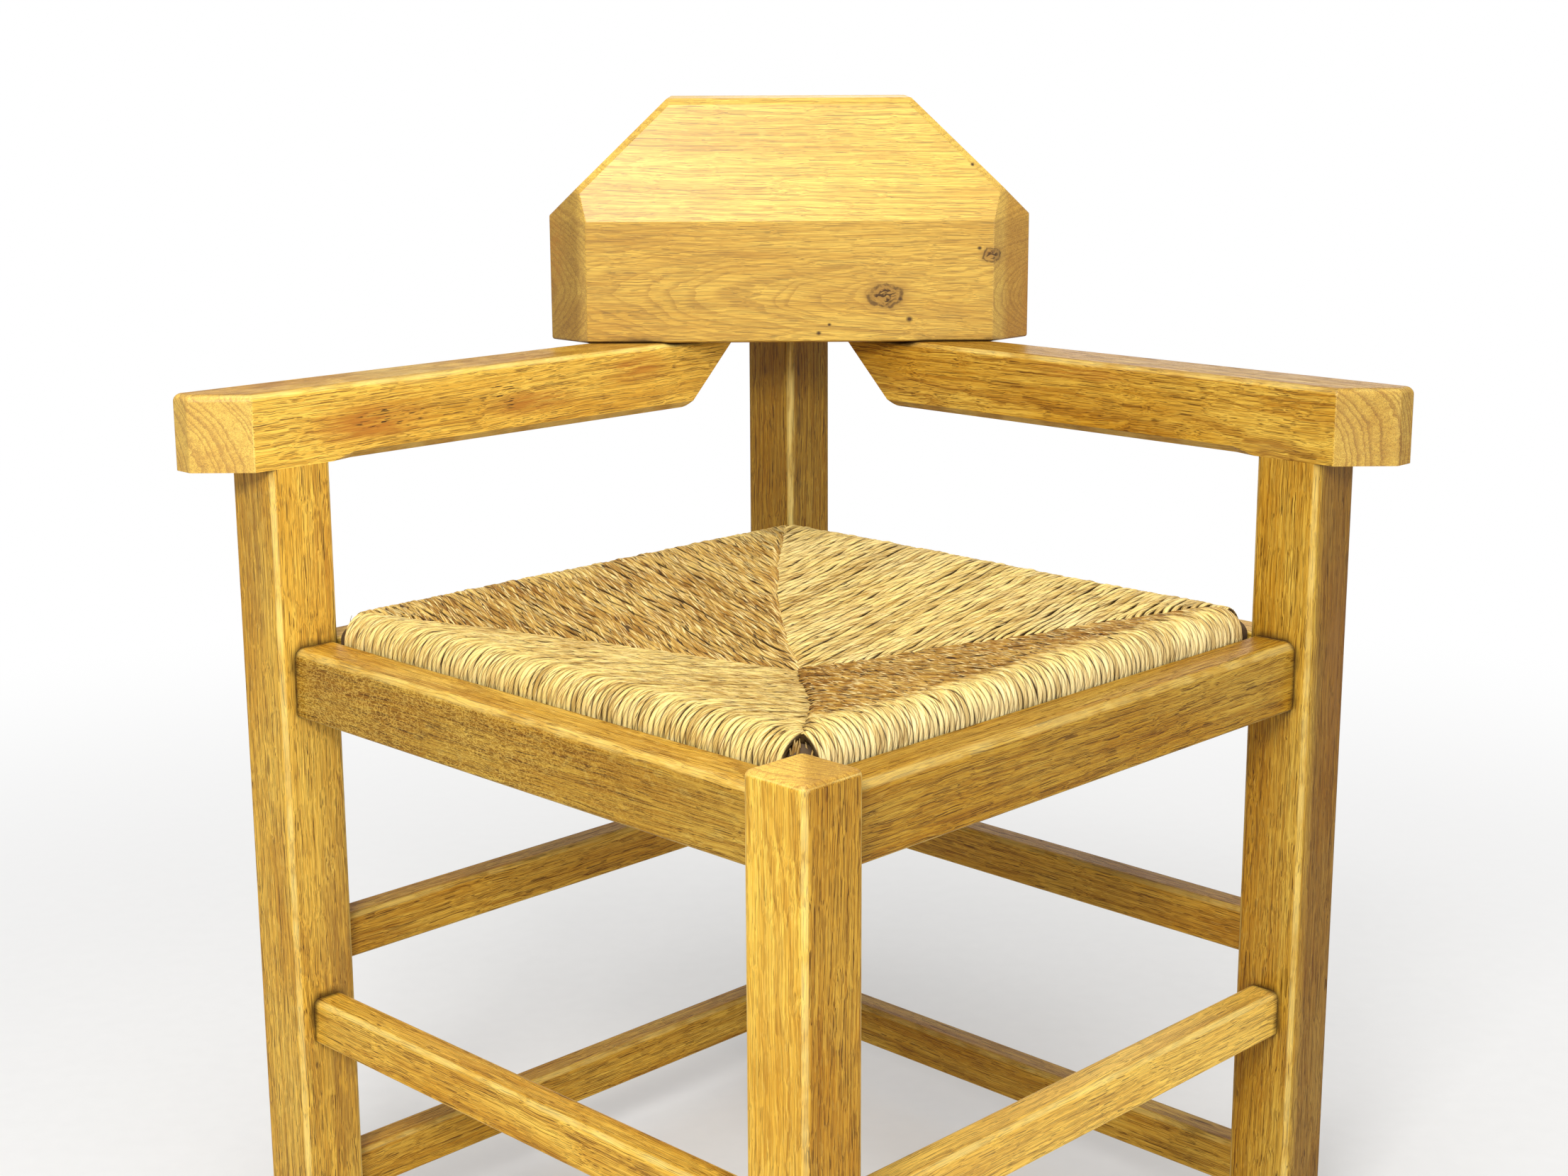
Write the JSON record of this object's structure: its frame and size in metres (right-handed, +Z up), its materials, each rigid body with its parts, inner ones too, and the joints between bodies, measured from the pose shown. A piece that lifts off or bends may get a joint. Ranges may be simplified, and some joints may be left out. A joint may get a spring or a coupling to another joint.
{
  "type": "corner chair",
  "caption": "Heavy square-post oak corner chair: diagonal arms, thick faceted block backrest, tenoned rails and stretchers, drop-in woven rush seat.",
  "frame": {"origin": "on the floor, under the middle of the seat", "axes": "+Z up, the front corner post toward -Y, the backrest toward +Y, +X to the right as seen from the front"},
  "size_m": [0.7788, 0.7206, 0.787],
  "materials": {
    "oak": "satin varnish",
    "beech": "bare, lightly aged",
    "steel": "plain zinc",
    "rush": "twisted natural rush"
  },
  "bodies": {
    "chair": {"post_front": "oak", "post_left": "oak", "post_right": "oak", "post_back": "oak", "rail_front_left": "oak", "rail_front_right": "oak", "rail_back_left": "oak", "rail_back_right": "oak", "stretcher_front_left": "oak", "stretcher_front_right": "oak", "stretcher_back_left_upper": "oak", "stretcher_back_left_lower": "oak", "stretcher_back_right_upper": "oak", "stretcher_back_right_lower": "oak", "arm_left": "oak", "arm_right": "oak", "backrest": "oak", "dowels_arm_left": "beech", "dowels_arm_right": "beech", "dowel_back_post": "beech", "corner_block_front": "beech", "corner_block_left": "beech", "corner_block_right": "beech", "corner_block_back": "beech", "corner_block_screws": "steel"},
    "seat": {"seat_frame_front_left": "beech", "seat_frame_front_right": "beech", "seat_frame_back_left": "beech", "seat_frame_back_right": "beech", "seat_rush": "rush"}
  },
  "joints": [
    {"name": "seat_lift", "type": "slide", "parent": "chair", "child": "seat", "axis": [0, 0, 1], "range_m": [0, 0.09]}
  ]
}
